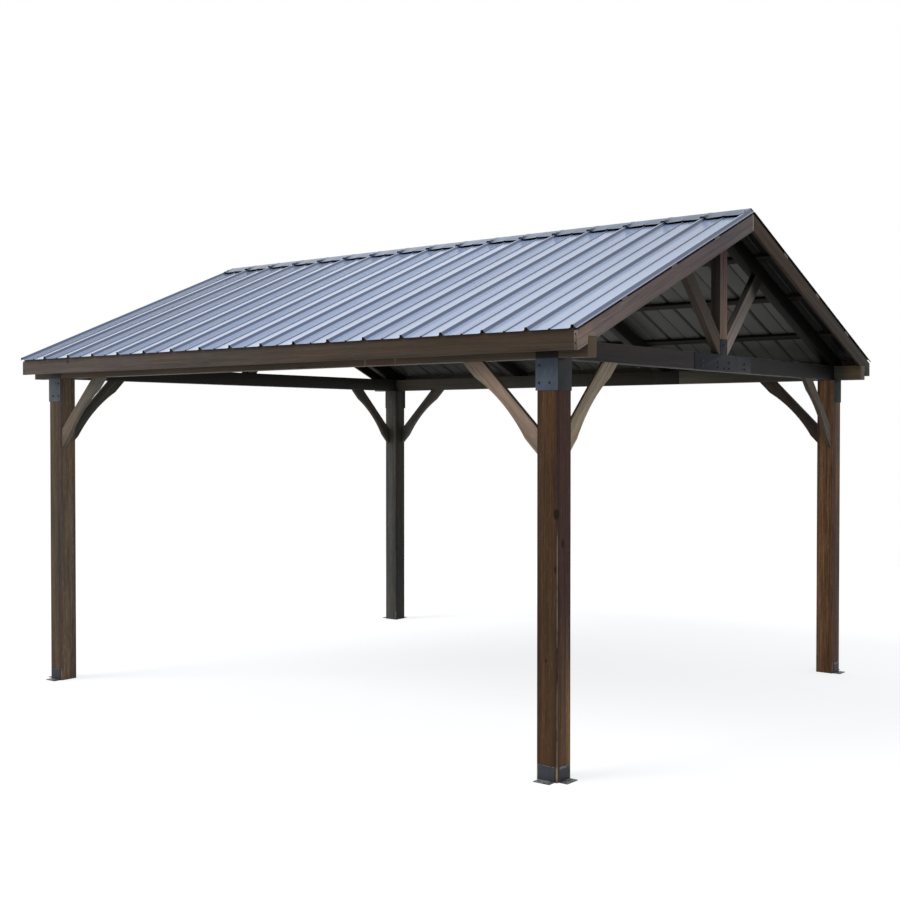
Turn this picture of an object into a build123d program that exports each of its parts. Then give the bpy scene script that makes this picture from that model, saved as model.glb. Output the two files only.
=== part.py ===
from build123d import *
import math
import os

# A garden gazebo: four timber posts, gable trusses and a ribbed metal roof.
# X runs along the ridge, Z is up, the ground is at Z = 0 and lengths are in mm.

half_share = 0.5
whole_share = 1.0

# Posts
posts_length = 3940.0  # over the outer faces, along the ridge
posts_width = 3424.0  # over the outer faces, across the ridge
post_side = 115.0
post_chamfer = 4.0

# Beams on the posts
beam_thick = 72.0
beam_depth = 94.0
truss_setback = 15.0  # gable truss behind the posts' outer face

# Gable trusses and rafters
truss_thick = 57.0
king_width = 89.0
strut_width = 84.0
strut_thick = 38.0
strut_toe = 10.0  # foot of a strut along the tie beam
rafter_depth = 89.0
mid_rafter_offset = 650.0  # from the middle of the roof

# Knee braces, cut at 45 degrees from one stock with a hollow lower edge
brace_leg = 446.0
brace_stock = 86.0
brace_thick = 28.0
brace_end = 75.0  # straight part at each end of the lower edge
brace_hollow = 25.0
brace_setback = 11.0  # eave braces behind the outer face of their beam

# Roof
roof_length = 4267.0  # over the rake boards
roof_width = 3604.0  # over the eave fascias
pitch_share = 5 / 12
eave_height = 2076.0  # underside of the sheets over the eave fascia
eave_rise = 32.0  # from the beams up to that height
board_thick = 19.0
rake_width = 85.0
rake_gap = 12.0  # from the sheets down to the rake boards
fascia_depth = 98.0
notch_clearance = 1.0
purlin_thick = 19.0
purlin_width = 57.0
purlin_offsets = (445.0, 915.0, 1395.0)  # across the ridge, from its middle

# Ribbed sheets and ridge cap
sheet_thick = 2.0
rib_pitch = 249.0
rib_height = 17.0
rib_base = 44.0  # over the flared feet of a rib
rib_foot = 3.0  # rise of those feet
rib_neck = 24.0
rib_top = 12.0
bead_height = 6.0
bead_base = 14.0
bead_top = 6.0
sheet_overhang = 12.0
ridge_gap = 6.0
cap_wing = 100.0
cap_length = 4238.0

# Steel brackets
bracket_thick = 3.0
bracket_drop = 147.0  # down the post
bracket_rise = 86.0  # up the eave beam
bracket_lap = 6.0  # past the inner edge of the post
plate_thick = 3.0
plate_length = 700.0
tongue_width = 84.0
tongue_rise = 87.0
foot_thick = 4.0
foot_width = 89.0
foot_leg = 72.0
foot_reach = 47.0
anchor_hole = 11.0
anchor_spacing = 50.0

# Levels and lines that follow from the sizes above
pitch = math.atan(pitch_share)
post_x = posts_length * half_share
post_y = posts_width * half_share
post_x_in = post_x - post_side
post_y_in = post_y - post_side
beam_top = eave_height - eave_rise
post_height = beam_top - beam_depth
beam_y_in = post_y - beam_thick
truss_x = post_x - truss_setback
tie_x_in = truss_x - beam_thick
truss_x_in = truss_x - truss_thick
roof_x = roof_length * half_share
roof_y = roof_width * half_share
rake_x_in = roof_x - board_thick
fascia_y_in = roof_y - board_thick
fascia_low = eave_height - fascia_depth
sheet_apex = eave_height + roof_y * pitch_share
rafter_apex = sheet_apex - purlin_thick / math.cos(pitch)
rafter_low_apex = rafter_apex - rafter_depth / math.cos(pitch)
rake_apex = sheet_apex - rake_gap / math.cos(pitch)
rake_low_apex = rake_apex - rake_width / math.cos(pitch)
king_half = king_width * half_share


def block(x_low, x_high, y_low, y_high, z_low, z_high):
    corner = (Align.MIN, Align.MIN, Align.MIN)
    size = Box(x_high - x_low, y_high - y_low, z_high - z_low, align=corner)
    return Pos(x_low, y_low, z_low) * size


def along_x(outline, x_low, x_high):
    # an outline of (Y, Z) points carried along the ridge
    loop = Wire.make_polygon([Vector(x_low, y, z) for y, z in outline], close=True)
    return Solid.extrude(Face(loop), Axis.X.direction * (x_high - x_low))


def to_side(shape, name):
    # a piece drawn at the right and rear, carried to the side that it is named for
    if "left" in name:
        shape = mirror(shape, about=Plane.YZ)
    if "front" in name:
        shape = mirror(shape, about=Plane.XZ)
    return shape


def save(shape, name):
    export_step(shape, os.path.join("parts", name + ".step"))


def make_post():
    post = block(post_x_in, post_x, post_y_in, post_y, 0, post_height)
    return chamfer(post.edges().filter_by(Axis.Z), post_chamfer)


def foot_angle():
    # an angle drawn at the middle, its leg on X = 0 and its foot to +X
    leg = block(0, foot_thick, -foot_width * half_share, foot_width * half_share, 0, foot_leg)
    foot = block(0, foot_reach, -foot_width * half_share, foot_width * half_share, 0, foot_thick)
    hole_x = (foot_thick + foot_reach) * half_share
    angle = leg + foot
    for side in (-anchor_spacing, anchor_spacing):
        hole = Cylinder(anchor_hole * half_share, foot_leg)
        angle = angle - Pos(hole_x, side * half_share, 0) * hole
    return angle


def make_base_bracket():
    middle_x = post_x - post_side * half_share
    middle_y = post_y - post_side * half_share
    gable_angle = Pos(post_x, middle_y, 0) * foot_angle()
    quarter_turn = math.degrees(math.pi * half_share)
    eave_angle = Pos(middle_x, post_y, 0) * Rot(0, 0, quarter_turn) * foot_angle()
    return Compound([gable_angle.solid(), eave_angle.solid()])


def make_top_bracket():
    low = post_height - bracket_drop
    eave_wing = block(post_x_in - bracket_lap, post_x + bracket_thick, post_y, post_y + bracket_thick,
                      low, post_height + bracket_rise)
    gable_wing = block(post_x, post_x + bracket_thick, post_y_in, post_y + bracket_thick, low, post_height)
    return eave_wing + gable_wing


def make_eave_beam():
    return block(-roof_x, roof_x, beam_y_in, post_y, post_height, beam_top)


def make_tie_beam():
    return block(tie_x_in, truss_x, -beam_y_in, beam_y_in, post_height, beam_top)


def make_tie_plate():
    reach = plate_length * half_share
    tongue = tongue_width * half_share
    tip = beam_top + tongue_rise
    outline = [(-reach, post_height), (reach, post_height), (reach, beam_top), (tongue, beam_top),
               (tongue, tip), (-tongue, tip), (-tongue, beam_top), (-reach, beam_top)]
    return along_x(outline, truss_x, truss_x + plate_thick)


def brace_outline():
    # (along the beam from the post, below the beam) with the lower edge hollowed
    inner = brace_leg - brace_stock * math.sqrt(whole_share + whole_share)
    middle = brace_leg * half_share - brace_hollow * math.sqrt(half_share)
    far = brace_leg - brace_end
    return inner, middle, far


def make_brace(place):
    inner, middle, far = brace_outline()
    edges = [
        Polyline(place(brace_end, -far), place(0, -brace_leg), place(0, -inner), place(inner, 0),
                 place(brace_leg, 0), place(far, -brace_end)),
        ThreePointArc(place(far, -brace_end), place(middle, -middle), place(brace_end, -far)),
    ]
    return Face(Wire(Curve(edges).edges()))


def make_eave_brace():
    y_low = post_y - brace_setback - brace_thick
    face = make_brace(lambda run, drop: (post_x_in - run, y_low, post_height + drop))
    return Solid.extrude(face, Axis.Y.direction * brace_thick)


def make_gable_brace():
    x_low = truss_x - brace_thick
    face = make_brace(lambda run, drop: (x_low, post_y_in - run, post_height + drop))
    return Solid.extrude(face, Axis.X.direction * brace_thick)


def make_king_post():
    shoulder = rafter_low_apex - king_half * pitch_share
    outline = [(-king_half, beam_top), (king_half, beam_top), (king_half, shoulder),
               (0, rafter_low_apex), (-king_half, shoulder)]
    return along_x(outline, truss_x_in, truss_x)


def make_struts():
    low = beam_top - king_half - strut_toe
    high = low + strut_width * math.sqrt(whole_share + whole_share)
    low_y = (rafter_low_apex - low) / (whole_share + pitch_share)
    high_y = (rafter_low_apex - high) / (whole_share + pitch_share)
    outline = [(king_half, beam_top), (king_half + strut_toe, beam_top), (low_y, low + low_y),
               (high_y, high + high_y), (king_half, high + king_half)]
    strut = along_x(outline, truss_x - strut_thick, truss_x)
    return Compound([strut, mirror(strut, about=Plane.XZ)])


def make_rafter(x_low, x_high):
    seat = (rafter_low_apex - beam_top) / pitch_share
    tail = rafter_apex - fascia_y_in * pitch_share
    outline = [(0, rafter_low_apex), (seat, beam_top), (fascia_y_in, beam_top),
               (fascia_y_in, tail), (0, rafter_apex)]
    return along_x(outline, x_low, x_high)


def make_gable_rafters():
    rafter = make_rafter(truss_x_in, truss_x)
    return Compound([rafter, mirror(rafter, about=Plane.YZ)])


def make_mid_rafters():
    reach = truss_thick * half_share
    rafter = make_rafter(mid_rafter_offset - reach, mid_rafter_offset + reach)
    return Compound([rafter, mirror(rafter, about=Plane.YZ)])


def on_slope(y, height):
    # a point of the roof plane at Y, raised square to the plane
    base = sheet_apex - y * pitch_share
    return y + height * math.sin(pitch), base + height * math.cos(pitch)


def purlin_bars():
    bars = []
    reach = purlin_width * half_share * math.cos(pitch)
    for y in purlin_offsets:
        outline = [on_slope(y - reach, -purlin_thick), on_slope(y + reach, -purlin_thick),
                   on_slope(y + reach, 0), on_slope(y - reach, 0)]
        bars.append(along_x(outline, -roof_x, roof_x))
    return bars


def make_purlins():
    return Compound(purlin_bars())


def make_rake_board():
    cut = (rake_low_apex - fascia_low) / pitch_share
    tail = rake_apex - roof_y * pitch_share
    outline = [(0, rake_low_apex), (cut, fascia_low), (roof_y, fascia_low), (roof_y, tail), (0, rake_apex)]
    board = along_x(outline, rake_x_in, roof_x)
    notch = block(rake_x_in, roof_x, beam_y_in - notch_clearance, post_y + notch_clearance,
                  post_height, beam_top + notch_clearance)
    board = board - notch
    for bar in purlin_bars():  # let in from above
        board = board - bar
    return board.solid()


def make_eave_fascia():
    inner_top = eave_height + board_thick * pitch_share
    outline = [(fascia_y_in, fascia_low), (roof_y, fascia_low), (roof_y, eave_height), (fascia_y_in, inner_top)]
    return along_x(outline, -rake_x_in, rake_x_in)


def fold_points(middle, steps):
    # a fold from its widest (width, height) up to its narrowest, and down the other side
    left = [(middle - width * half_share, height) for width, height in steps]
    right = [(middle + width * half_share, height) for width, height in reversed(steps)]
    return left + right


def sheet_profile():
    # the underside of a sheet across its ribs, with a bead midway between two ribs
    rib = [(rib_base, 0), (rib_neck, rib_foot), (rib_top, rib_height)]
    bead = [(bead_base, 0), (bead_top, bead_height)]
    rib_gaps = round((roof_length - rib_base) / rib_pitch)
    points = []
    for index in range(rib_gaps + 1):
        middle = (index - rib_gaps * half_share) * rib_pitch
        points += fold_points(middle, rib)
        if index < rib_gaps:
            points += fold_points(middle + rib_pitch * half_share, bead)
    return points


def make_roof_sheet():
    low = sheet_profile()
    high = [(x, height + sheet_thick) for x, height in reversed(low)]
    eave_y = roof_y + sheet_overhang
    outline = []
    for x, height in low + high:
        y, z = on_slope(eave_y, height)
        outline.append(Vector(x, y, z))
    run = ridge_gap - eave_y
    up_slope = Vector(0, run, -run * pitch_share)
    return Solid.extrude(Face(Wire.make_polygon(outline, close=True)), up_slope)


def make_ridge_cap():
    low = rib_height + sheet_thick
    wing = cap_wing * math.cos(pitch)
    edge_low = on_slope(wing, low)
    edge_high = on_slope(wing, low + sheet_thick)
    apex_low = sheet_apex + low / math.cos(pitch)
    apex_high = sheet_apex + (low + sheet_thick) / math.cos(pitch)
    rear = [(0, apex_high), edge_high, edge_low, (0, apex_low)]
    front = [(-y, z) for y, z in reversed(rear)]
    outline = rear + front[1:-1]
    return along_x(outline, -cap_length * half_share, cap_length * half_share)


os.makedirs("parts", exist_ok=True)

for corner in ("front_left", "front_right", "rear_left", "rear_right"):
    save(to_side(make_post(), corner), "post_" + corner)
    save(to_side(make_base_bracket(), corner), "base_bracket_" + corner)
    save(to_side(make_top_bracket(), corner), "top_bracket_" + corner)
    save(to_side(make_eave_brace(), corner), "eave_brace_" + corner)
    save(to_side(make_gable_brace(), corner), "gable_brace_" + corner)
    save(to_side(make_rake_board(), corner), "rake_board_" + corner)

for slope in ("front", "rear"):
    save(to_side(make_eave_beam(), slope), "eave_beam_" + slope)
    save(to_side(make_gable_rafters(), slope), "gable_rafters_" + slope)
    save(to_side(make_mid_rafters(), slope), "mid_rafters_" + slope)
    save(to_side(make_purlins(), slope), "purlins_" + slope)
    save(to_side(make_eave_fascia(), slope), "eave_fascia_" + slope)
    save(to_side(make_roof_sheet(), slope), "roof_sheet_" + slope)

for gable in ("left", "right"):
    save(to_side(make_tie_beam(), gable), "tie_beam_" + gable)
    save(to_side(make_tie_plate(), gable), "tie_plate_" + gable)
    save(to_side(make_king_post(), gable), "king_post_" + gable)
    save(to_side(make_struts(), gable), "truss_struts_" + gable)

save(make_ridge_cap(), "ridge_cap")
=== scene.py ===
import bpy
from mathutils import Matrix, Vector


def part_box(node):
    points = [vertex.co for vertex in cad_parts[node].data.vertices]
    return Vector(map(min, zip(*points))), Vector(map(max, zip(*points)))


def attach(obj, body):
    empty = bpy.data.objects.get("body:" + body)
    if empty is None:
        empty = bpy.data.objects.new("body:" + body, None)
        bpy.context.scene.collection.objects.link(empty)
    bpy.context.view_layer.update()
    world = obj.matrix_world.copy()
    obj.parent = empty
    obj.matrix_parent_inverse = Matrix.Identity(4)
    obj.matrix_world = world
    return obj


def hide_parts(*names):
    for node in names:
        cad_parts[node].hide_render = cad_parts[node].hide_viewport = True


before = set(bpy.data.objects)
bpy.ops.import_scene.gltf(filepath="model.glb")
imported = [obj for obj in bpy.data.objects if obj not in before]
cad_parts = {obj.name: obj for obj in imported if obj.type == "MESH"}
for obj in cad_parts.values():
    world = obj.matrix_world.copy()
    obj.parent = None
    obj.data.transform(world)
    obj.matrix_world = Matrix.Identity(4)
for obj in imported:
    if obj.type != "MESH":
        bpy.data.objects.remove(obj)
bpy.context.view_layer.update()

from math import atan2, cos, radians, sin

import bmesh
import bpy
from mathutils import Matrix, Vector

print("frame loaded,", len(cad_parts), "nodes")

corners = ["front_left", "front_right", "rear_left", "rear_right"]
signs = {"front": -1, "rear": 1, "left": -1, "right": 1}
pitch = atan2(5, 12)  # roof slope
uphill = {"front": (0, cos(pitch), sin(pitch)), "rear": (0, -cos(pitch), sin(pitch))}


class Wire:  # a node's output, so that sums can be written out
    def __init__(self, shader, socket):
        self.shader = shader
        self.socket = socket

    def __add__(self, other):
        return self.shader.sum("ADD", self, other)

    def __radd__(self, other):
        return self.shader.sum("ADD", other, self)

    def __sub__(self, other):
        return self.shader.sum("SUBTRACT", self, other)

    def __rsub__(self, other):
        return self.shader.sum("SUBTRACT", other, self)

    def __mul__(self, other):
        return self.shader.sum("MULTIPLY", self, other)

    def __rmul__(self, other):
        return self.shader.sum("MULTIPLY", other, self)

    def __truediv__(self, other):
        return self.shader.sum("DIVIDE", self, other)

    def __pow__(self, other):
        return self.shader.sum("POWER", self, other)

    def __abs__(self):
        return self.shader.sum("ABSOLUTE", self, 0)


class Shader:
    def __init__(self, tree):
        self.tree = tree
        tree.nodes.clear()

    def add(self, kind, settings=None, sockets=None, out=0):
        node = self.tree.nodes.new(kind)
        for key, value in (settings or {}).items():
            setattr(node, key, value)
        for key, value in (sockets or {}).items():
            if isinstance(value, Wire):
                self.tree.links.new(value.socket, node.inputs[key])
            else:
                node.inputs[key].default_value = value
        return Wire(self, node.outputs[out]) if len(node.outputs) else node

    def sum(self, operation, first, second):
        return self.add("ShaderNodeMath", {"operation": operation}, {0: first, 1: second})

    def fade(self, value, low, high):  # 0 below low, 1 above high
        settings = {"interpolation_type": "SMOOTHSTEP"}
        return self.add("ShaderNodeMapRange", settings, {"Value": value, "From Min": low, "From Max": high})

    def mix(self, share, first, second, blend="MIX"):
        colours = [tuple(c) + (1,) if isinstance(c, tuple) and len(c) == 3 else c for c in (first, second)]
        return self.add("ShaderNodeMix", {"data_type": "RGBA", "blend_type": blend},
                        {0: share, 6: colours[0], 7: colours[1]}, 2)

    def shade(self, colour, share):  # colour times a grey value
        grey = self.add("ShaderNodeCombineColor", {}, {0: share, 1: share, 2: share})
        return self.mix(1.0, colour, grey, "MULTIPLY")

    def tinted(self, colour, share, factor):  # colour times factor where share is 1
        return self.mix(share, colour, self.mix(1.0, colour, factor, "MULTIPLY"))

    def turned(self, part):  # 1 on faces whose normal has this part near 1
        return self.fade(part, 0.6, 0.9)

    def split(self, vector):
        return [self.add("ShaderNodeSeparateXYZ", {}, {0: vector}, axis) for axis in range(3)]

    def place(self, vector, move=(0, 0, 0), turn=(0, 0, 0), stretch=(1, 1, 1), kind="POINT"):
        return self.add("ShaderNodeMapping", {"vector_type": kind},
                        {"Vector": vector, "Location": move, "Rotation": turn, "Scale": stretch})

    def noise(self, vector, stretch, move=(0, 0, 0), detail=2.0, rough=0.5):
        spot = self.place(vector, move, (0, 0, 0), stretch)
        return self.add("ShaderNodeTexNoise", {},
                        {"Vector": spot, "Scale": 1.0, "Detail": detail, "Roughness": rough})

    def bump(self, height, strength, distance):
        return self.add("ShaderNodeBump", {}, {"Height": height, "Strength": strength, "Distance": distance})

    def corner(self, facing):  # 0 on flat faces, 1 on slanting ones
        parts = [abs(part) for part in self.split(facing)]
        return 1 - self.sum("MAXIMUM", self.sum("MAXIMUM", parts[0], parts[1]), parts[2])

    def finish(self, colour, rough, normal, constants):
        sockets = {"Base Color": colour, "Roughness": rough, "Normal": normal}
        sockets.update(constants)
        surface = self.add("ShaderNodeBsdfPrincipled", {}, sockets)
        self.add("ShaderNodeOutputMaterial", {}, {"Surface": surface})


def newShader(name):
    material = bpy.data.materials.new(name)
    material.use_nodes = True
    return material, Shader(material.node_tree)


def turnTo(grain):  # angles that lay the X of a pattern along the grain
    along = Vector(grain).normalized()
    side = Vector((1, 0, 0)) if abs(along.x) < 0.9 else Vector((0, 1, 0))
    up = along.cross(side).normalized()
    side = up.cross(along)
    return Matrix((along, side, up)).transposed().to_euler()


stain = {
    "tint": (0.080, 0.060, 0.045),  # mean colour of the stained wood
    "far": None,  # its colour at the upper or right end, where that differs; on the struts, the rear eave beam and the right tie beam a painted shade
    "faceX": None, "faceY": None,  # factors of the faces across X and across Y: painted light and shade
    "inner": None,  # axis (0 or 1) and factor of the face towards the middle of the gazebo: painted light on the front left and rear right posts, painted shade on the rear left one
    "foot": None, "footTop": 0.9,  # painted light: factor of the faces across X near the ground, and where it ends
    "front": None,  # painted shade: factor of the half before the ridge
    "beyond": None,  # where a beam's last length starts along X, and its factor, a painted light
    "upper": None,  # factors of a brace's upper edge, inner and outer half: painted shade and light
    "spread": 0.55,  # contrast of the streaks
    "fleck": 0.2, "fleckTint": (1.75, 1.90, 2.05),  # share and factor of the short pale streaks
    "patch": (1.12, 0.96, 0.86), "patchShare": 0.8,  # factor and share of the warmer patches
    "ringGap": 0.0062, "ringDepth": 0.13,  # growth rings, metres apart
    "edge": (0.16, 0.13, 0.10), "edgeShare": 0.5, "edgeTop": None,  # colour of worn edges, share, highest z; on the front right post the edges are also a painted highlight
    "knotShare": 0.90,  # cells above this share hold a knot
    "marks": [],  # centre, radii and factor of knots and tones that stand out, and of painted shade and light on some pieces
    "margin": None, "marginWidth": 0.55,  # factor of a post's faces near their edges, share of half a face
    "strip": [],  # lowest and highest z, reach in from a post's corner and colour of bare wood
    "seam": None,  # y, highest z and half width of a glue line, how much lighter behind it, darker on it
    "endShade": 0.6, "endTint": None,  # factor and colour of the end grain
    "joint": None,  # axis, places, half width and colour of the lighter strips where two lengths meet
    "bump": 0.25, "bumpDepth": 0.001, "rough": 0.60, "gloss": 0.15,
}

timberGrain = {  # stretch along and across the grain, shift, detail and roughness of each noise
    "streak": (1.3, 42, (3, 1, 2), 4.0, 0.60),
    "fine": (3.5, 210, (5, 3, 1), 3.0, 0.60),
    "fibre": (14, 800, (9, 4, 5), 2.0, 0.60),
    "fleck": (22, 250, (12, 6, 4), 2.0, 0.50),
    "blotch": (1.5, 8, (21, 7, 3), 3.0, 0.55),
    "wear": (7, 45, (33, 2, 8), 3.0, 0.60),
    "tone": {"streak": 1.5, "fine": 1.2, "fibre": 0.5, "blotch": 0.7},  # weights in the colour
    "relief": {"fibre": 0.4, "fine": 0.5, "streak": 0.4, "late": 0.3, "check": 0.8, "knot": 0.4},  # in the bump
    "seedStep": 7.31,  # moves the noises on from piece to piece
    "sway": 0.05, "swayA": (0.9, 4, 4), "swayB": (0.7, 3, 3),  # how far the rings wander, metres, and stretches
    "pithA": (0.045, 0.05), "pithB": (0.06, 0.04),  # place of the rings' middle and its spread
    "knotStretch": (4, 9, 9), "knotSize": 0.17, "knotDepth": 0.62,
    "checkDepth": 0.5,  # how dark the open checks are
}


def woodStain(node, own, grain, seed, folded=False):
    look = {**stain, **own}
    pith, pithSide = timberGrain["pithA"], timberGrain["pithB"]
    material, s = newShader(node + "_stain")
    low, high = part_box(node)
    centre = [(a + b) / 2 for a, b in zip(low, high)]
    turn = turnTo(grain)
    spot = s.add("ShaderNodeTexCoord", {}, {}, "Object")
    facing = s.add("ShaderNodeNewGeometry", {}, {}, "Normal")
    spotX, spotY, spotZ = s.split(spot)
    faceX, faceY, faceZ = s.split(facing)
    laid, laidFacing = spot, facing
    if folded:  # a mirrored pair shares the node, so both halves are laid on one side
        laid = s.add("ShaderNodeCombineXYZ", {}, {0: spotX, 1: abs(spotY), 2: spotZ})
        laidFacing = s.add("ShaderNodeCombineXYZ", {}, {0: faceX, 1: abs(faceY), 2: faceZ})
        centre[1] = 0.0
    local = s.place(laid, centre, turn, kind="TEXTURE")
    laidFacing = s.place(laidFacing, (0, 0, 0), turn, kind="TEXTURE")
    shift = seed * timberGrain["seedStep"]
    along, across, depth = s.split(local)
    swayA = s.noise(local, timberGrain["swayA"], (shift, 0, 0))
    swayB = s.noise(local, timberGrain["swayB"], (shift + 40, 0, 0))
    a = across + (swayA - 0.5) * timberGrain["sway"] + (pith[0] + pith[1] * sin(seed * 2.1))
    b = depth + (swayB - 0.5) * timberGrain["sway"] + (pithSide[0] + pithSide[1] * cos(seed * 3.7))
    ring = s.sum("FRACT", ((a * a + b * b) ** 0.5) / look["ringGap"], 0)
    late = s.fade(ring, 0.35, 0.85) * s.fade(1 - ring, 0.0, 0.12)  # the dark side of each ring
    noises = {}
    for name in ("streak", "fine", "fibre", "fleck", "blotch", "wear"):
        length, width, move, detail, rough = timberGrain[name]
        move = (shift + move[0], move[1], move[2])
        noises[name] = s.noise(local, (length, width, width), move, detail, rough)
    streak, fine, fibre, fleck, blotch, wear = noises.values()
    tone = look["tint"]
    # tone along the piece; on the struts, the rear eave beam and the right tie beam a painted shade towards the
    # far end
    if look["far"]:
        reach = (Vector(high) - Vector(low)).length / 2
        tone = s.mix(s.fade(along, -reach * 0.7, reach * 0.7), look["tint"], look["far"])
    body = s.tinted(tone, s.fade(blotch, 0.40, 0.64) * look["patchShare"], look["patch"])
    grainValue = sum((noises[name] - 0.5) * weight for name, weight in timberGrain["tone"].items())
    body = s.shade(body, 1 + grainValue * look["spread"] - (late - 0.35) * look["ringDepth"])
    body = s.tinted(body, s.fade(fleck, 0.54, 0.70) * look["fleck"], look["fleckTint"])
    check = s.fade(streak, 0.70, 0.76) * s.fade(fine, 0.45, 0.6)  # fine open checks along the grain
    body = s.shade(body, 1 - check * timberGrain["checkDepth"])
    # painted light and shade on the faces across X and across Y
    if look["faceX"]:
        body = s.tinted(body, s.turned(abs(faceX)), look["faceX"])
    if look["faceY"]:
        body = s.tinted(body, s.turned(abs(faceY)), look["faceY"])
    # painted shade and light on a brace's upper edge
    if look["upper"]:
        inner, outer = look["upper"]
        middle = abs(centre[0]) - 0.002
        factor = s.mix(s.fade(abs(spotX) - middle, 0.0, 0.004), inner, outer)
        body = s.tinted(body, s.fade(faceZ, 0.35, 0.6), factor)
    # painted light and shade on the face towards the middle
    if look["inner"]:
        axis, factor = look["inner"]
        inward = (faceX, faceY)[axis] * (-1 if centre[axis] > 0 else 1)
        body = s.tinted(body, s.turned(inward), factor)
    # painted light on the lower faces across X
    if look["foot"]:
        body = s.tinted(body, s.turned(abs(faceX)) * s.fade(look["footTop"] - spotZ, 0.0, 0.6), look["foot"])
    # painted shade on the half before the ridge
    if look["front"]:
        body = s.tinted(body, s.fade(0 - spotY, -0.001, 0.001), look["front"])
    # painted light on the beam's last length
    if look["beyond"]:
        start, factor = look["beyond"]
        body = s.tinted(body, s.fade(spotX - start, 0.0, 0.002), factor)
    knotSpot = s.place(local, (shift, 0.3, 0.7), (0, 0, 0), timberGrain["knotStretch"])
    knotGap = s.add("ShaderNodeTexVoronoi", {}, {"Vector": knotSpot, "Scale": 1.0}, "Distance")
    knotCell = s.add("ShaderNodeTexVoronoi", {}, {"Vector": knotSpot, "Scale": 1.0}, "Color")
    chance = s.add("ShaderNodeSeparateColor", {}, {0: knotCell})
    knot = s.fade(chance, look["knotShare"], look["knotShare"] + 0.01)
    knot = knot * s.fade(timberGrain["knotSize"] - knotGap, 0.0, 0.08)
    body = s.shade(body, 1 - knot * timberGrain["knotDepth"])
    # knots and tones, and on the struts and the rear eave beam painted shade and light
    for middle, radii, factor in look["marks"]:
        gap = s.place(spot, middle, (0, 0, 0), radii, "TEXTURE")
        gap = s.add("ShaderNodeVectorMath", {"operation": "LENGTH"}, {0: gap}, "Value")
        body = s.tinted(body, s.fade(1 - gap, 0.0, 0.5), factor)
    if look["margin"]:
        half = (high[0] - low[0]) / 2
        inset = half - s.sum("MINIMUM", abs(across), abs(depth))  # from the nearest corner, along the face
        wide = half * look["marginWidth"]
        body = s.tinted(body, s.fade(wide - inset, 0.0, wide), look["margin"])
        for bottom, top, width, colour in look["strip"]:
            share = s.fade(spotZ, bottom, bottom + 0.03) * s.fade(top - spotZ, 0.0, 0.03)
            share = share * s.fade(width - inset, 0, 0.002) * s.fade(wear, 0.34, 0.52)
            body = s.mix(share, body, colour)
    if look["seam"]:
        y, top, half, lighter, darker = look["seam"]
        below = s.fade(top - spotZ, 0.0, 0.01) * s.turned(abs(faceX))
        body = s.shade(body, 1 + below * s.fade(spotY - y, 0.0, 0.002) * lighter)
        body = s.shade(body, 1 - below * s.fade(half - abs(spotY - y), 0.0, 0.001) * darker)
    rim = s.fade(s.corner(laidFacing), 0.02, 0.16) * s.fade(wear, 0.36, 0.58)
    # on the front right post the worn edges below edgeTop are also a painted highlight
    if look["edgeTop"]:
        rim = rim * s.fade(look["edgeTop"] - spotZ, 0.0, 0.25)
    body = s.mix(rim * look["edgeShare"], body, look["edge"])
    if look["joint"]:
        axis, places, half, colour = look["joint"]
        for middle in places:
            gap = abs((spotX, spotY)[axis] - middle)
            body = s.mix(s.fade(half - gap, 0.0, 0.002) * s.fade(wear, 0.25, 0.45), body, colour)
    ends = s.fade(abs(s.split(laidFacing)[0]), 0.80, 0.95)
    body = s.shade(body, 1 - ends * (1 - look["endShade"]))
    if look["endTint"]:
        body = s.mix(ends * (0.5 + wear), body, look["endTint"])
    relief = timberGrain["relief"]
    height = fibre * relief["fibre"] + fine * relief["fine"] + streak * relief["streak"]
    height = height - late * relief["late"] - check * relief["check"] - knot * relief["knot"]
    rough = look["rough"] + (fine - 0.5) * 0.25 - knot * 0.1
    normal = s.bump(height, look["bump"], look["bumpDepth"])
    s.finish(body, rough, normal, {"Specular IOR Level": look["gloss"]})
    return material


def pickOnly(piece):
    bpy.ops.object.select_all(action="DESELECT")
    piece.select_set(True)
    bpy.context.view_layer.objects.active = piece


easing = {
    "weld": 0.00003,  # points closer than this are one, metres
    "flat": 0.8,  # faces that differ less are one, degrees
    "sharp": 25,  # edges that turn more are eased, degrees
    "smooth": 28,  # and those that turn less are shaded smooth
    "shortest": 5,  # an eased edge's least length, in its own radii
}


def mergedCopy(node, name):  # a copy of a CAD mesh with its loose triangles joined up
    piece = bpy.data.objects.new(name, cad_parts[node].data.copy())
    bpy.context.scene.collection.objects.link(piece)
    pickOnly(piece)
    bpy.ops.object.mode_set(mode="EDIT")
    bpy.ops.mesh.select_all(action="SELECT")
    bpy.ops.mesh.remove_doubles(threshold=easing["weld"])
    bpy.ops.mesh.dissolve_limited(angle_limit=radians(easing["flat"]))
    bpy.ops.object.mode_set(mode="OBJECT")
    return piece


def pickEdges(piece, test):
    mesh = piece.data
    for layer in (mesh.vertices, mesh.edges, mesh.polygons):
        layer.foreach_set("select", [False] * len(layer))
    form = bmesh.new()
    form.from_mesh(mesh)
    chosen = [edge.index for edge in form.edges if len(edge.link_faces) == 2 and test(edge)]
    form.free()
    for index in chosen:
        mesh.edges[index].select = True
    return len(chosen)


def roundEdges(piece, test, ease, segments):
    pickOnly(piece)
    if pickEdges(piece, test):
        bpy.ops.object.mode_set(mode="EDIT")
        bpy.ops.mesh.select_mode(type="EDGE")
        bpy.ops.mesh.bevel(offset=ease, segments=segments, affect="EDGES", clamp_overlap=True)
        bpy.ops.object.mode_set(mode="OBJECT")


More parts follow.
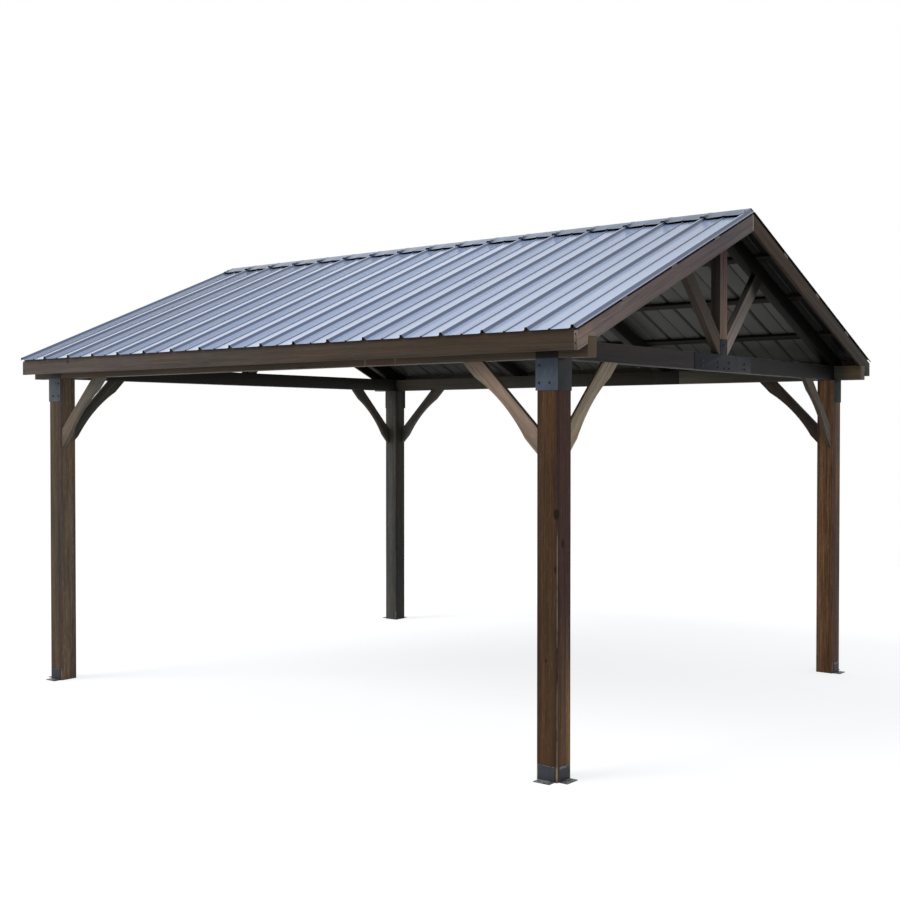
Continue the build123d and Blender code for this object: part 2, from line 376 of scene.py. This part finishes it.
def easeEdges(piece, ease, segments, longer):  # rounds the outer edges that are long enough
    def outer(edge):
        bent = edge.is_convex and edge.calc_face_angle() > radians(easing["sharp"])
        return bent and edge.calc_length() > longer
    roundEdges(piece, outer, ease, segments)
    bpy.ops.object.shade_smooth_by_angle(angle=radians(easing["smooth"]))


def joined(pieces, name):
    bpy.ops.object.select_all(action="DESELECT")
    for piece in pieces:
        piece.select_set(True)
    bpy.context.view_layer.objects.active = pieces[0]
    if len(pieces) > 1:
        bpy.ops.object.join()
    piece = bpy.context.view_layer.objects.active
    piece.name = name
    return piece


def spliced(node, name, cuts, ease, segments):  # one beam in lengths that butt at the cuts
    lengths = []
    for start, end in zip([None] + cuts, cuts + [None]):
        piece = mergedCopy(node, name)
        bpy.ops.object.mode_set(mode="EDIT")
        if start is not None:
            bpy.ops.mesh.select_all(action="SELECT")
            bpy.ops.mesh.bisect(plane_co=(start, 0, 0), plane_no=(1, 0, 0), clear_inner=True, use_fill=True)
        if end is not None:
            bpy.ops.mesh.select_all(action="SELECT")
            bpy.ops.mesh.bisect(plane_co=(end, 0, 0), plane_no=(1, 0, 0), clear_outer=True, use_fill=True)
        bpy.ops.object.mode_set(mode="OBJECT")
        easeEdges(piece, ease, segments, ease * easing["shortest"])
        lengths.append(piece)
    return joined(lengths, name)


def hangOn(piece, material, slot, *nodes):
    piece.data.materials.clear()
    piece.data.materials.append(material)
    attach(piece, "root")
    if nodes:
        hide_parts(*nodes)


def dress(node, kind, own, grain, seed, folded=False):
    name = node + "_timber"
    if own.get("cuts"):
        piece = spliced(node, name, own["cuts"], kind["ease"], kind["rounds"])
    else:
        piece = mergedCopy(node, name)
        easeEdges(piece, kind["ease"], kind["rounds"], kind["ease"] * easing["shortest"])
    hangOn(piece, woodStain(node, own, grain, seed, folded), kind["slot"], node)


post = {
    "ease": 0.0012, "rounds": 2, "slot": "post_timber",
    "look": {"spread": 1.15, "fleck": 0.6, "gloss": 0.08, "margin": (0.74, 0.70, 0.92),
             "strip": [(0.0, 0.085, 0.006, (0.30, 0.25, 0.15))]},
    "looks": {
        # faceX, foot and inner paint light and shade on a post's sides; the front right post's edge colour
        # below edgeTop is also a painted highlight
        "front_right": {"tint": (0.064, 0.036, 0.018), "faceX": (0.85, 0.80, 1.25), "foot": (2.3, 2.4, 1.6),
                        "edge": (0.26, 0.21, 0.12), "edgeShare": 0.65, "edgeTop": 1.25,
                        "seam": (-1.644, 0.962, 0.0022, 0.22, 0.6),
                        "strip": [(0.0, 0.085, 0.008, (0.34, 0.28, 0.16)),
                                  (0.55, 1.15, 0.004, (0.21, 0.16, 0.085))],
                        "marks": [((1.963, -1.708, 1.235), (0.022, 0.022, 0.033), (0.38, 0.38, 0.38)),
                                  ((1.963, -1.708, 0.981), (0.016, 0.016, 0.024), (0.38, 0.38, 0.38)),
                                  ((1.908, -1.712, 0.557), (0.008, 0.008, 0.011), (0.38, 0.38, 0.38)),
                                  ((1.970, -1.668, 1.10), (0.018, 0.018, 0.027), (0.38, 0.38, 0.38)),
                                  ((1.970, -1.604, 0.25), (0.025, 0.026, 0.34), (1.85, 1.85, 1.25))]},
        "rear_right": {"tint": (0.098, 0.056, 0.031), "inner": (1, (1.86, 1.78, 1.55)), "spread": 2.0},
        "front_left": {"tint": (0.082, 0.061, 0.040), "inner": (0, (2.04, 2.02, 2.00))},
        "rear_left": {"tint": (0.076, 0.076, 0.067), "inner": (0, (0.46, 0.47, 0.43)), "spread": 1.1},
    },
}
for count, corner in enumerate(corners):
    dress("post_" + corner, post, {**post["look"], **post["looks"][corner]}, (0, 0, 1), 1 + count)

brace = {
    "ease": 0.0025, "rounds": 3, "slot": "brace_timber",
    # tints: lit and shaded copies of one timber, so they carry painted light and shade
    "eave": {"front_right": (0.195, 0.155, 0.120), "front_left": (0.132, 0.114, 0.089),
             "rear_left": (0.078, 0.070, 0.060), "rear_right": (0.058, 0.043, 0.033)},
    "gable": {"front_right": (0.308, 0.246, 0.170), "front_left": (0.083, 0.077, 0.063),
              "rear_left": (0.047, 0.042, 0.033), "rear_right": (0.081, 0.064, 0.047)},
    "look": {"spread": 1.3, "fleck": 0.4, "edge": (0.28, 0.25, 0.20), "edgeShare": 0.45, "knotShare": 0.93},
    # painted shade on the upper edges; painted light on the outer half of the front right gable brace's
    "upper": {"eave_brace_front_right": ((0.3, 0.28, 0.26), (0.3, 0.28, 0.26)),
              "gable_brace_front_right": ((0.3, 0.28, 0.26), (2.1, 2.05, 2.0))},
}
for count, corner in enumerate(corners):
    across, along = [signs[word] for word in corner.split("_")]
    for kind, grain, seed in (("eave", (-along, 0, 1), 11), ("gable", (0, -across, 1), 21)):
        node = kind + "_brace_" + corner
        look = {**brace["look"], "tint": brace[kind][corner], "upper": brace["upper"].get(node)}
        dress(node, brace, look, grain, seed + count)

beam = {
    "ease": 0.003, "rounds": 3, "slot": "beam_timber",
    "looks": {
        "eave_beam_front": {"tint": (0.076, 0.055, 0.038), "cuts": [0.787, 0.991], "edgeShare": 0.8,
                            "endShade": 1.3, "endTint": (0.100, 0.066, 0.035), "spread": 0.8,
                            "joint": (0, [0.787, 0.991], 0.006, (0.20, 0.15, 0.09))},
        # far paints shade along the rear beam; beyond and the mark paint light on its last length and its end
        "eave_beam_rear": {"tint": (0.082, 0.075, 0.060), "far": (0.0085, 0.0078, 0.0060),
                           "cuts": [0.600, 0.804], "beyond": (0.804, (6.6, 6.4, 6.0)),
                           "endTint": (0.090, 0.070, 0.050), "spread": 0.8,
                           "marks": [((2.14, 1.66, 2.01), (0.14, 0.30, 0.30), (2.0, 1.65, 1.35))]},
        "tie_beam_left": {"tint": (0.020, 0.019, 0.017)},
        # far paints shade towards the right end
        "tie_beam_right": {"tint": (0.031, 0.026, 0.025), "far": (0.0055, 0.0050, 0.0050),
                           "edge": (0.14, 0.13, 0.12), "edgeShare": 0.8, "spread": 1.1, "gloss": 0.12},
    },
}
for count, (node, look) in enumerate(beam["looks"].items()):
    dress(node, beam, look, (1, 0, 0) if "eave" in node else (0, 1, 0), 31 + count)

truss = {
    "ease": 0.0025, "rounds": 2, "slot": "truss_timber",
    # faceY paints shade on the king posts' sides and light on the struts' sides; the struts' far, front and
    # mark paint shade towards their tops and on the front strut
    "king": {"tint": (0.135, 0.098, 0.070), "far": (0.118, 0.076, 0.070), "faceY": (0.28, 0.31, 0.33),
             "spread": 1.5},
    "strut": {"tint": (0.330, 0.255, 0.215), "far": (0.130, 0.115, 0.098), "front": (0.27, 0.23, 0.19),
              "faceY": (1.5, 1.4, 1.35), "spread": 1.1,
              "marks": [((0.0, 0.48, 2.50), (9.0, 0.19, 0.19), (0.07, 0.07, 0.07))]},
}
for side in ("left", "right"):
    dress("king_post_" + side, truss, truss["king"], (0, 0, 1), 41 + signs[side])
    dress("truss_struts_" + side, truss, truss["strut"], (0, 1, 1), 45 + signs[side], True)

rafter = {
    "ease": 0.002, "rounds": 2, "slot": "rafter_timber",
    # the rafters' and purlins' tints are near black, a painted shade under the roof; purlinEnd keeps their ends
    # at the gables lighter
    "looks": {"gable": {"front": (0.034, 0.028, 0.022), "rear": (0.005, 0.005, 0.004)},
              "mid": {"front": (0.026, 0.022, 0.018), "rear": (0.016, 0.014, 0.012)},
              "purlin": {"front": (0.010, 0.009, 0.008), "rear": (0.008, 0.007, 0.006)}},
    "look": {"gloss": 0.06, "edgeShare": 0.12},
    "purlinEnd": (0.170, 0.145, 0.130),
}
for side in ("front", "rear"):
    tints = {kind: {**rafter["look"], "tint": rafter["looks"][kind][side]} for kind in rafter["looks"]}
    tints["purlin"]["endTint"] = rafter["purlinEnd"]
    dress("gable_rafters_" + side, rafter, tints["gable"], uphill[side], 51 + signs[side])
    dress("mid_rafters_" + side, rafter, tints["mid"], uphill[side], 55 + signs[side])
    dress("purlins_" + side, rafter, tints["purlin"], (1, 0, 0), 59 + signs[side])

trim = {
    "ease": 0.002, "rounds": 2, "slot": "trim_timber",
    "fascia": {"tint": (0.088, 0.071, 0.060), "far": (0.058, 0.042, 0.029), "spread": 0.85,
               "marks": [((-1.642, -1.802, 2.048), (0.020, 0.02, 0.014), (0.45, 0.42, 0.40))],
               "edge": (0.19, 0.16, 0.13), "edgeShare": 0.7},
    "rake": {"front": {"tint": (0.183, 0.139, 0.122), "far": (0.118, 0.096, 0.092), "edge": (0.30, 0.26, 0.23),
                       "edgeShare": 0.9, "endShade": 0.45, "spread": 0.9, "patch": (1.04, 0.97, 0.93),
                       "knotShare": 0.99,
                       "joint": (1, [0.0], 0.009, (0.46, 0.43, 0.30)),
                       "marks": [((2.13, -0.76, 2.48), (0.50, 0.72, 0.72), (0.80, 0.77, 0.81)),
                                 ((2.13, -1.80, 2.06), (0.30, 0.16, 0.16), (1.38, 1.34, 1.20))]},
             "rear": {"tint": (0.030, 0.025, 0.018), "far": (0.056, 0.036, 0.024), "edge": (0.17, 0.14, 0.11),
                      "edgeShare": 0.7, "spread": 1.1, "gloss": 0.08}},
}
for side in ("front", "rear"):
    dress("eave_fascia_" + side, trim, trim["fascia"], (1, 0, 0), 65 + signs[side])
for count, corner in enumerate(corners):
    side = corner.split("_")[0]
    dress("rake_board_" + corner, trim, trim["rake"][side], uphill[side], 71 + count)
print("timber dressed")

slate = {
    "rough": 0.46, "gloss": 0.10, "scuff": (0.30, 0.31, 0.32), "faded": 1.4,
    "scratched": (0.052, 0.068),  # z where the base angles' scratches begin and are full
    # faceX: painted shade on the top brackets' faces across X, painted light on the base angles'
    "top": {"paint": (0.061, 0.074, 0.092), "faceX": (0.17, 0.17, 0.17), "scuffShare": 0.25,
            # eave: painted shade under the fascia
            "eave": (0.020, 0.016, 0.014)},
    # the front left bracket: lighter paint, and a brown like the beam's face under the fascia
    "topWorn": {"paint": (0.088, 0.098, 0.104), "faceX": (0.17, 0.17, 0.17), "scuffShare": 0.25,
                "eave": (0.066, 0.056, 0.048)},
    "base": {"paint": (0.040, 0.040, 0.046), "faceX": (1.2, 1.15, 1.1), "scuffShare": 0.8,
             "bare": (0.24, 0.25, 0.24)},
    # tie: near-black paint, a painted shade under the roof
    "tie": {"paint": (0.008, 0.009, 0.015), "faceX": (1, 1, 1), "scuffShare": 0.05},
}


def slatePaint(name, look):
    material, s = newShader(name)
    spot = s.add("ShaderNodeTexCoord", {}, {}, "Object")
    facing = s.add("ShaderNodeNewGeometry", {}, {}, "Normal")
    faceX, _, faceZ = s.split(facing)
    height = s.split(spot)[2]
    cloud = s.noise(spot, (14, 14, 9), (3, 1, 2), 3.0, 0.6)
    grit = s.noise(spot, (420, 420, 420), (0, 0, 0), 2.0, 0.5)
    scratch = s.noise(spot, (60, 60, 240), (5, 2, 0), 3.0, 0.65)
    faded = tuple(part * slate["faded"] for part in look["paint"])
    body = s.mix(s.fade(cloud, 0.35, 0.7), look["paint"], faded)
    # painted light and shade on the faces across X
    body = s.tinted(body, s.turned(abs(faceX)), look["faceX"])
    if "eave" in look:  # painted shade from the fascia on the wing that stands up the beam; on the front left bracket a brown like the beam's face instead
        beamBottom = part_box("eave_beam_front")[0][2]
        underFascia = s.fade(height, beamBottom - 0.004, beamBottom + 0.006)
        body = s.mix(underFascia, body, s.shade(look["eave"], 0.6 + cloud * 0.8))
    rim = s.fade(s.corner(facing), 0.03, 0.2)
    if "bare" in look:  # scratches where the angles end on the post
        rim = s.sum("MAXIMUM", rim, s.fade(height, *slate["scratched"]) * s.turned(abs(faceX)))
    worn = s.sum("MAXIMUM", rim * s.fade(scratch, 0.4, 0.6), s.fade(scratch, 0.70, 0.80))
    worn = worn * look["scuffShare"]
    if "bare" in look:  # the feet are trodden bare
        trodden = s.fade(faceZ, 0.7, 0.9) * s.fade(cloud + (scratch - 0.5) * 0.8, 0.30, 0.55)
        body = s.mix(trodden, body, look["bare"])
    body = s.mix(worn, body, slate["scuff"])
    rough = slate["rough"] + (cloud - 0.5) * 0.2 + worn * 0.15
    normal = s.bump(grit * 0.5 + cloud, 0.12, 0.0008)
    s.finish(body, rough, normal, {"Specular IOR Level": slate["gloss"]})
    return material


bracket = {"ease": 0.0008, "rounds": 2, "longer": 0.006}
plates = [("top_bracket_front_left", "topWorn", "bracket_steel")]
plates += [("top_bracket_" + corner, "top", "bracket_steel") for corner in corners[1:]]
plates += [("base_bracket_" + corner, "base", "bracket_steel") for corner in corners]
plates += [("tie_plate_" + side, "tie", "plate_steel") for side in ("left", "right")]
for node, kind, slot in plates:
    piece = mergedCopy(node, node + "_steel")
    easeEdges(piece, bracket["ease"], bracket["rounds"], bracket["longer"])
    hangOn(piece, slatePaint(node + "_paint", slate[kind]), slot, node)
print("brackets and plates painted")

roof = {
    "paint": (0.300, 0.390, 0.585), "faded": (0.335, 0.425, 0.615),
    "under": (0.056, 0.056, 0.048), "underFaded": 1.3,
    "web": (0.31, 0.32, 0.36),  # factor of the ribs' sides, a painted shade
    "soffit": 0.10, "soffitFrom": (1.90, 1.98),  # factor of the underside beyond the trusses, a painted shade, and their x
    "middle": 0.18, "right": 0.22, "ridgeDim": 0.22,  # painted reflection, brighter in the middle and duller at the right; darker still towards the ridge at the right
    "capPaint": (0.135, 0.170, 0.260), "capFaded": (0.155, 0.190, 0.280), "capCoat": 0.30,
    "shaded": (0.012, 0.013, 0.017), "shadedReach": 0.087,  # the pans under the cap
    "gloss": 0.20, "rough": 0.40, "underRough": 0.55,
    "coat": 1.0, "coatRough": 0.17,
    "coatLeft": 1.35, "coatLean": 0.45, "coatRidgeDim": 0.35,  # at the left end, less to the right and towards the ridge at the right
    "sway": 0.010, "peel": 0.0003,  # heights of the pans' waves and of the paint's skin
    "panel": 0.747, "rib": 0.249, "end": 2.138,  # widths, and the sheets' last edge
    "smooth": 40, "foldNear": 0.0002,
    "folds": [(0.006, 0.0018, 3), (0.012, 0.0040, 4), (0.022, 0.0050, 3),  # gap from the rib, rounding, steps
              (0.1215, 0.0010, 2), (0.1175, 0.0015, 2)],
}

cap = {
    # place across a rib and height above the pans' underside, mm
    "bay": [(-124.5, 19), (-115, 16), (-60, 14.5), (-30, 14), (-19, 16), (-11, 28),
            (11, 28), (17, 18), (24, 13), (60, 14.5), (115, 16), (124.5, 19)],
    # down the slope, mm, and share of the bay's shape
    "rows": [(0, 0.12), (30, 0.12), (55, 0.38), (78, 0.82), (100, 1.0)],
    "flat": 21,  # above the pans' underside at the ridge, mm
    "bays": 18, "pitch": 0.249, "half": 2.119, "pressed": 0.025, "thick": 0.001,
    "ridgeRow": 0.012,  # points this near the ridge are moved onto it
    "weldBays": 0.0005, "weldRidge": 0.0002, "smooth": 32,
    "screwDown": 62, "screwRise": 23.5, "screwEnd": 2.108, "screwScale": 0.5,
}


def roofPaint(name, fresh, faded, coat, shaded):
    material, s = newShader(name)
    spot = s.add("ShaderNodeTexCoord", {}, {}, "Object")
    x, y, _ = s.split(spot)
    sideways, _, facing = s.split(s.add("ShaderNodeNewGeometry", {}, {}, "True Normal"))
    panel = s.sum("FLOOR", x / roof["panel"] + 0.5, 0)
    tint = s.add("ShaderNodeTexWhiteNoise", {"noise_dimensions": "1D"}, {"W": panel})
    runs = s.noise(spot, (26, 1.2, 1.2), (0, 0, 0), 3.0, 0.6)  # rain runs down the slope
    cloud = s.noise(spot, (1.5, 1.5, 1.5), (4, 2, 1), 3.0, 0.5)
    top = s.mix(s.fade(cloud * 0.6 + runs * 0.4, 0.38, 0.62), fresh, faded)
    top = s.shade(top, 0.96 + tint * 0.08)
    # painted shade on the ribs' sides
    top = s.tinted(top, s.fade(abs(sideways), 0.12, 0.5), roof["web"])
    dull = tuple(part * roof["underFaded"] for part in roof["under"])
    under = s.shade(s.mix(s.fade(cloud, 0.3, 0.7), roof["under"], dull), 0.8 + runs * 0.4)
    # painted shade on the underside beyond the trusses
    under = s.shade(under, 1 - s.fade(abs(x), *roof["soffitFrom"]) * (1 - roof["soffit"]))
    below = s.fade(0 - facing, -0.1, 0.1)
    lean = s.fade(x, -2.1, 2.1)
    # painted reflection: brighter in the middle, duller at the right
    tone = 1.02 + s.fade(x, -2.2, -0.4) * roof["middle"] - s.fade(x, 0.0, 2.1) * roof["right"]
    ridgeDimming = s.fade(x, 0.2, 2.1) * s.fade(1.5 - abs(y), 0.0, 1.3)  # towards the ridge at the right
    top = s.shade(s.shade(top, tone), 1 - ridgeDimming * roof["ridgeDim"])
    hidden = s.fade(roof["shadedReach"] - abs(y), 0.0, 0.006)
    hidden = hidden * s.fade(cap["half"] - abs(x), 0.004, 0.008) * shaded
    top = s.mix(hidden, top, roof["shaded"])
    body = s.mix(below, top, under)
    rough = roof["rough"] + (runs - 0.5) * 0.08 + below * (roof["underRough"] - roof["rough"])
    peel = s.noise(spot, (700, 700, 700), (0, 0, 0), 1.0, 0.5)
    sway = s.noise(spot, (9, 1.6, 1.6), (2, 5, 1), 2.0, 0.5)  # the pans are never quite flat
    wear = roof["coatLeft"] - lean * roof["coatLean"] - ridgeDimming * roof["coatRidgeDim"]
    s.finish(body, rough, s.bump(peel * roof["peel"] + sway * roof["sway"], 0.10, 1.0),
             {"Specular IOR Level": roof["gloss"], "Coat Roughness": roof["coatRough"],
              "Coat Weight": (1 - below) * (1 - hidden) * wear * coat})
    return material


paint = roofPaint("roof_paint", roof["paint"], roof["faded"], roof["coat"], 1.0)
capPaint = roofPaint("cap_paint", roof["capPaint"], roof["capFaded"], roof["capCoat"], 0.0)
for side in ("front", "rear"):
    piece = mergedCopy("roof_sheet_" + side, "roof_sheet_" + side + "_painted")
    slope = Vector(uphill[side])
    for gap, ease, steps in roof["folds"]:
        def fold(edge):
            run = (edge.verts[1].co - edge.verts[0].co).normalized()
            where = edge.verts[0].co.x / roof["rib"] + 0.5
            near = abs(where - round(where)) * roof["rib"]
            inside = abs(edge.verts[0].co.x) < roof["end"]
            return inside and abs(run.dot(slope)) > 0.99 and abs(near - gap) < roof["foldNear"]
        roundEdges(piece, fold, ease, steps)
    bpy.ops.object.shade_smooth_by_angle(angle=radians(roof["smooth"]))
    hangOn(piece, paint, "roof_steel", "roof_sheet_" + side)


def capPlace():  # lays a flat wing on the front slope, its flat part at the CAD cap's ridge
    tilt = Matrix.Rotation(pitch, 4, "X")
    ridge = tilt @ Vector((0, 0, cap["flat"] / 1000))
    return Matrix.Translation((0, -ridge.y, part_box("ridge_cap")[1][2] - ridge.z)) @ tilt


def makeCap():
    columns, rows = cap["bay"], cap["rows"]
    bpy.ops.object.select_all(action="DESELECT")
    bpy.ops.mesh.primitive_grid_add(x_subdivisions=len(columns) - 1, y_subdivisions=len(rows) - 1, size=1.0)
    piece = bpy.context.active_object
    piece.name = "ridge_cap_painted"
    for point in piece.data.vertices:
        column = round((point.co.x + 0.5) * (len(columns) - 1))
        row = round((point.co.y + 0.5) * (len(rows) - 1))
        down, share = rows[row]
        wide, high = columns[column]
        point.co = Vector((wide, -down, cap["flat"] + (high - cap["flat"]) * share)) / 1000
    array = piece.modifiers.new("bays", "ARRAY")
    array.count = cap["bays"]
    array.use_relative_offset = False
    array.use_constant_offset = True
    array.constant_offset_displace = (cap["pitch"], 0, 0)
    array.use_merge_vertices = True
    array.merge_threshold = cap["weldBays"]
    pickOnly(piece)
    bpy.ops.object.modifier_apply(modifier="bays")
    bpy.ops.object.mode_set(mode="EDIT")
    bpy.ops.mesh.select_all(action="SELECT")
    bpy.ops.transform.translate(value=(-cap["pitch"] * (cap["bays"] - 1) / 2, 0, 0))
    bpy.ops.mesh.bisect(plane_co=(cap["half"], 0, 0), plane_no=(1, 0, 0), clear_outer=True)
    bpy.ops.mesh.select_all(action="SELECT")
    bpy.ops.mesh.bisect(plane_co=(-cap["half"], 0, 0), plane_no=(1, 0, 0), clear_inner=True)
    bpy.ops.object.mode_set(mode="OBJECT")
    for point in piece.data.vertices:  # the last ribs are pressed flat under the cap's ends
        if abs(point.co.x) > cap["half"] - cap["pressed"]:
            point.co.z = min(point.co.z, cap["flat"] / 1000)
    piece.data.transform(capPlace())
    for point in piece.data.vertices:  # the top row meets the other wing at the ridge
        if point.co.y > -cap["ridgeRow"]:
            point.co.y = 0.0
    mirror = piece.modifiers.new("rear", "MIRROR")
    mirror.use_axis = (False, True, False)
    mirror.merge_threshold = cap["weldBays"]
    bpy.ops.object.modifier_apply(modifier="rear")
    bpy.ops.object.mode_set(mode="EDIT")
    bpy.ops.mesh.select_all(action="SELECT")
    bpy.ops.mesh.remove_doubles(threshold=cap["weldRidge"])
    bpy.ops.mesh.normals_make_consistent(inside=False)
    bpy.ops.object.mode_set(mode="OBJECT")
    solid = piece.modifiers.new("sheet", "SOLIDIFY")
    solid.thickness = cap["thick"]
    solid.offset = -1
    bpy.ops.object.modifier_apply(modifier="sheet")
    bpy.ops.object.shade_smooth_by_angle(angle=radians(cap["smooth"]))
    return piece


hangOn(makeCap(), capPaint, "roof_steel", "ridge_cap")
print("roof laid")

bolt = {
    "flange": 0.0085, "flangeHeight": 0.0016, "flangeSides": 16,
    "hex": 0.0062, "height": 0.0050, "inset": 0.0013, "dome": 0.0007,
    "zinc": ((0.014, 0.015, 0.019), (0.034, 0.036, 0.043)),  # darkest and lightest
    "painted": ((0.100, 0.130, 0.200), (0.140, 0.175, 0.250)),
    "rough": 0.42, "metal": 0.4,
}


def zincPaint(name, dark, light):
    material, s = newShader(name)
    spot = s.add("ShaderNodeTexCoord", {}, {}, "Object")
    cloud = s.noise(spot, (160, 160, 160), (0, 0, 0), 2.0, 0.6)
    body = s.mix(s.fade(cloud, 0.35, 0.65), dark, light)
    s.finish(body, bolt["rough"] + cloud * 0.2, s.bump(cloud, 0.1, 0.0003), {"Metallic": bolt["metal"]})
    return material


def domed(piece):  # sets the top of a short cylinder in and up
    pickOnly(piece)
    for layer in (piece.data.vertices, piece.data.edges, piece.data.polygons):
        layer.foreach_set("select", [False] * len(layer))
    for face in piece.data.polygons:
        face.select = face.normal.z > 0.9
    bpy.ops.object.mode_set(mode="EDIT")
    bpy.ops.mesh.select_mode(type="FACE")
    bpy.ops.mesh.inset(thickness=bolt["inset"], depth=bolt["dome"])
    bpy.ops.object.mode_set(mode="OBJECT")


def makeBolt():
    parts = []
    for sides, radius, height, base in ((bolt["flangeSides"], bolt["flange"], bolt["flangeHeight"], 0.0),
                                        (6, bolt["hex"], bolt["height"], bolt["flangeHeight"])):
        bpy.ops.object.select_all(action="DESELECT")
        bpy.ops.mesh.primitive_cylinder_add(vertices=sides, radius=radius, depth=height,
                                            location=(0, 0, base + height / 2))
        piece = bpy.context.active_object
        bpy.ops.object.transform_apply()
        domed(piece)
        parts.append(piece)
    return joined(parts, "bolt")


def boltRow(master, name, places, facings, material, slot, scale):
    copies = []
    for place, facing in zip(places, facings):
        turn = Vector((0, 0, 1)).rotation_difference(Vector(facing)).to_matrix().to_4x4()
        mesh = master.data.copy()
        mesh.transform(Matrix.Translation(place) @ turn @ Matrix.Scale(scale, 4))
        copy = bpy.data.objects.new(name, mesh)
        bpy.context.scene.collection.objects.link(copy)
        copies.append(copy)
    hangOn(joined(copies, name), material, slot)


zinc = zincPaint("bolt_zinc", *bolt["zinc"])
painted = zincPaint("screw_paint", *bolt["painted"])
master = makeBolt()
plateBolts = {  # y and z on the plates
    "spots": [(-0.267, 1.999), (-0.267, 1.970), (-0.070, 2.000), (-0.066, 1.970), (0.013, 1.966),
              (0.070, 2.000), (0.070, 1.967), (0.269, 1.999), (0.269, 1.969), (0.0, 2.098)],
    "out": 1.958, "scale": 0.85,
}
for side in ("left", "right"):
    out = signs[side]
    spots = [(out * plateBolts["out"], y, z) for y, z in plateBolts["spots"]]
    facings = [(out, 0, 0)] * len(spots)
    boltRow(master, "tie_plate_bolts_" + side, spots, facings, zinc, "plate_steel", plateBolts["scale"])
# x and z on the brackets and at the fascias' ends
bracketBolts = {"spots": [(1.869, 1.918), (1.869, 1.838), (1.927, 1.838)], "out": 1.715, "scale": 0.75}
rakeScrews = {"spots": [(2.1233, 2.0466), (2.1233, 2.0068)], "out": 1.802, "scale": 0.5}
for corner in corners:
    across, along = [signs[word] for word in corner.split("_")]
    for name, row in (("top_bracket_bolts_", bracketBolts), ("rake_screws_", rakeScrews)):
        spots = [(along * x, across * row["out"], z) for x, z in row["spots"]]
        facings = [(0, across, 0)] * len(spots)
        boltRow(master, name + corner, spots, facings, zinc, "bracket_steel", row["scale"])
spots, facings = [], []
for side in ("front", "rear"):
    for bay in range(cap["bays"]):
        x = (bay - (cap["bays"] - 1) / 2) * cap["pitch"]
        spot = capPlace() @ (Vector((0, -cap["screwDown"], cap["screwRise"])) / 1000)
        x = min(max(x, -cap["screwEnd"]), cap["screwEnd"])
        spots.append((x, -signs[side] * spot.y, spot.z))
        facings.append((0, signs[side] * sin(pitch), cos(pitch)))
boltRow(master, "ridge_cap_screws", spots, facings, painted, "roof_steel", cap["screwScale"])
bpy.data.objects.remove(master)
print("bolts set")

camera = {
    "place": (5.1555, -6.5402, 1.6269),
    "turn": (89.038, 0.0, 38.288),  # degrees
    "lens": 50.49,
    "sensor": 36.0,
    "reach": 200.0,
}
cameraData = bpy.data.cameras.new("camera")
cameraData.lens = camera["lens"]
cameraData.sensor_width = camera["sensor"]
cameraData.clip_end = camera["reach"]
cameraPiece = bpy.data.objects.new("camera", cameraData)
cameraPiece.location = camera["place"]
cameraPiece.rotation_euler = [radians(angle) for angle in camera["turn"]]
bpy.context.scene.collection.objects.link(cameraPiece)
bpy.context.scene.camera = cameraPiece

light = {
    "sky": (0.58, 0.61, 0.66), "sun": 1.35, "sunTurn": (46, 0, -34), "sunSize": 28,  # degrees
    "floorSize": 120, "floor": 0.65,  # what the floor throws back
    "shadow": 0.36, "glow": 0.76,  # what is seen of it, matte part and glow
    "fadeFrom": 4.0, "fadeTo": 11.0,  # where it turns white
}


def seenDirectly(s):  # what the lens, gloss and glass see
    parts = [s.add("ShaderNodeLightPath", {}, {}, name)
             for name in ("Is Camera Ray", "Is Glossy Ray", "Is Transmission Ray")]
    return s.sum("MAXIMUM", s.sum("MAXIMUM", parts[0], parts[1]), parts[2])


world = bpy.data.worlds.new("studio")
bpy.context.scene.world = world
world.use_nodes = True
s = Shader(world.node_tree)
sky = s.mix(seenDirectly(s), light["sky"], (1, 1, 1))
background = s.add("ShaderNodeBackground", {}, {"Color": sky, "Strength": 1.0})
s.add("ShaderNodeOutputWorld", {}, {"Surface": background})

sun = bpy.data.objects.new("sun", bpy.data.lights.new("sun", "SUN"))
sun.data.energy = light["sun"]
sun.data.angle = radians(light["sunSize"])
sun.visible_glossy = False  # no glare on the roof
sun.rotation_euler = [radians(angle) for angle in light["sunTurn"]]
bpy.context.scene.collection.objects.link(sun)

bpy.ops.object.select_all(action="DESELECT")
bpy.ops.mesh.primitive_plane_add(size=light["floorSize"])
floor = bpy.context.active_object
floor.name = "floor"
material, s = newShader("pale_floor")
spot = s.add("ShaderNodeTexCoord", {}, {}, "Object")
reach = s.add("ShaderNodeVectorMath", {"operation": "LENGTH"}, {0: spot}, "Value")
far = s.fade(reach, light["fadeFrom"], light["fadeTo"])
bounce = s.add("ShaderNodeBsdfDiffuse", {}, {"Color": (light["floor"],) * 3 + (1,)})
matte = s.add("ShaderNodeBsdfDiffuse", {}, {"Color": (light["shadow"],) * 3 + (1,)})
shine = s.add("ShaderNodeEmission", {}, {"Color": (light["glow"],) * 3 + (1,), "Strength": 1.0})
near = s.add("ShaderNodeAddShader", {}, {0: matte, 1: shine})
white = s.add("ShaderNodeEmission", {}, {"Color": (1, 1, 1, 1), "Strength": 1.0})
seen = s.add("ShaderNodeMixShader", {}, {0: far, 1: near, 2: white})
surface = s.add("ShaderNodeMixShader", {}, {0: seenDirectly(s), 1: bounce, 2: seen})
s.add("ShaderNodeOutputMaterial", {}, {"Surface": surface})
floor.data.materials.append(material)
bpy.context.scene.view_settings.view_transform = "Standard"
print("camera, floor and light set")
